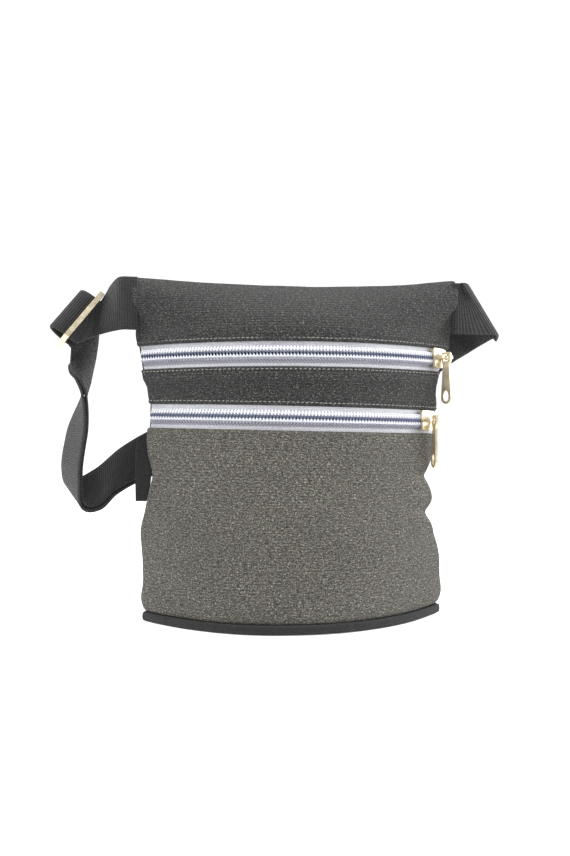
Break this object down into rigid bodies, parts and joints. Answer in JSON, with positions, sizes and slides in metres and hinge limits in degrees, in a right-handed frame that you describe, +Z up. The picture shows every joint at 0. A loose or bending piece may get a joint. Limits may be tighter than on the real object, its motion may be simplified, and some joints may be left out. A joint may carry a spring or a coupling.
{
  "type": "small shoulder bag",
  "caption": "Small soft fabric shoulder bag with a curved front, two full-width zips, a flat standing base, and a webbing strap with a tri-glide and a ring.",
  "frame": {"origin": "on the ground under the middle of the base", "axes": "+X to the right seen from the front, +Y to the back, +Z up; the front faces -Y"},
  "size_m": [0.2175, 0.0764, 0.16],
  "materials": {
    "charcoal": "dark grey speckled woven cloth",
    "taupe": "grey-brown speckled woven cloth",
    "black_cloth": "black woven cloth",
    "zip_tape": "pale lilac-grey woven tape",
    "zip_coil": "white nylon coil",
    "nickel": "pale warm nickel plate",
    "label": "black woven label, bare",
    "webbing": "black ribbed webbing"
  },
  "bodies": {
    "bag": {"top_front_panel": "charcoal", "middle_front_band": "charcoal", "lower_front_panel": "taupe", "back_panel": "black_cloth", "base_panel": "black_cloth", "pocket_divider": "black_cloth", "upper_zip_tape_high": "zip_tape", "upper_zip_tape_low": "zip_tape", "lower_zip_tape_high": "zip_tape", "lower_zip_tape_low": "zip_tape", "upper_zip_coil_high": "zip_coil", "upper_zip_coil_low": "zip_coil", "lower_zip_coil_high": "zip_coil", "lower_zip_coil_low": "zip_coil", "side_label": "label", "long_strap": "webbing", "short_strap": "webbing", "tri_glide": "nickel", "strap_ring": "nickel"},
    "upper_slider": {"upper_slider": "nickel"},
    "upper_pull": {"upper_pull": "nickel"},
    "lower_slider": {"lower_slider": "nickel"},
    "lower_pull": {"lower_pull": "nickel"}
  },
  "joints": [
    {"name": "upper_zip_run", "type": "hinge", "parent": "bag", "child": "upper_slider", "pos_m": [0, 0.094, 0.1225], "axis": [0, 0, 1], "range_deg": [-72, 0]},
    {"name": "upper_pull_swing", "type": "hinge", "parent": "upper_slider", "child": "upper_pull", "pos_m": [0.07268, -0.00171, 0.12304], "axis": [-0.7964, -0.6048, 0], "range_deg": [0, 150]},
    {"name": "lower_zip_run", "type": "hinge", "parent": "bag", "child": "lower_slider", "pos_m": [0, 0.0933, 0.0937], "axis": [0.0209, 0, 0.9998], "range_deg": [-65, 0]},
    {"name": "lower_pull_swing", "type": "hinge", "parent": "lower_slider", "child": "lower_pull", "pos_m": [0.06529, -0.0076, 0.09279], "axis": [-0.8394, -0.5433, 0.0176], "range_deg": [0, 150]}
  ]
}
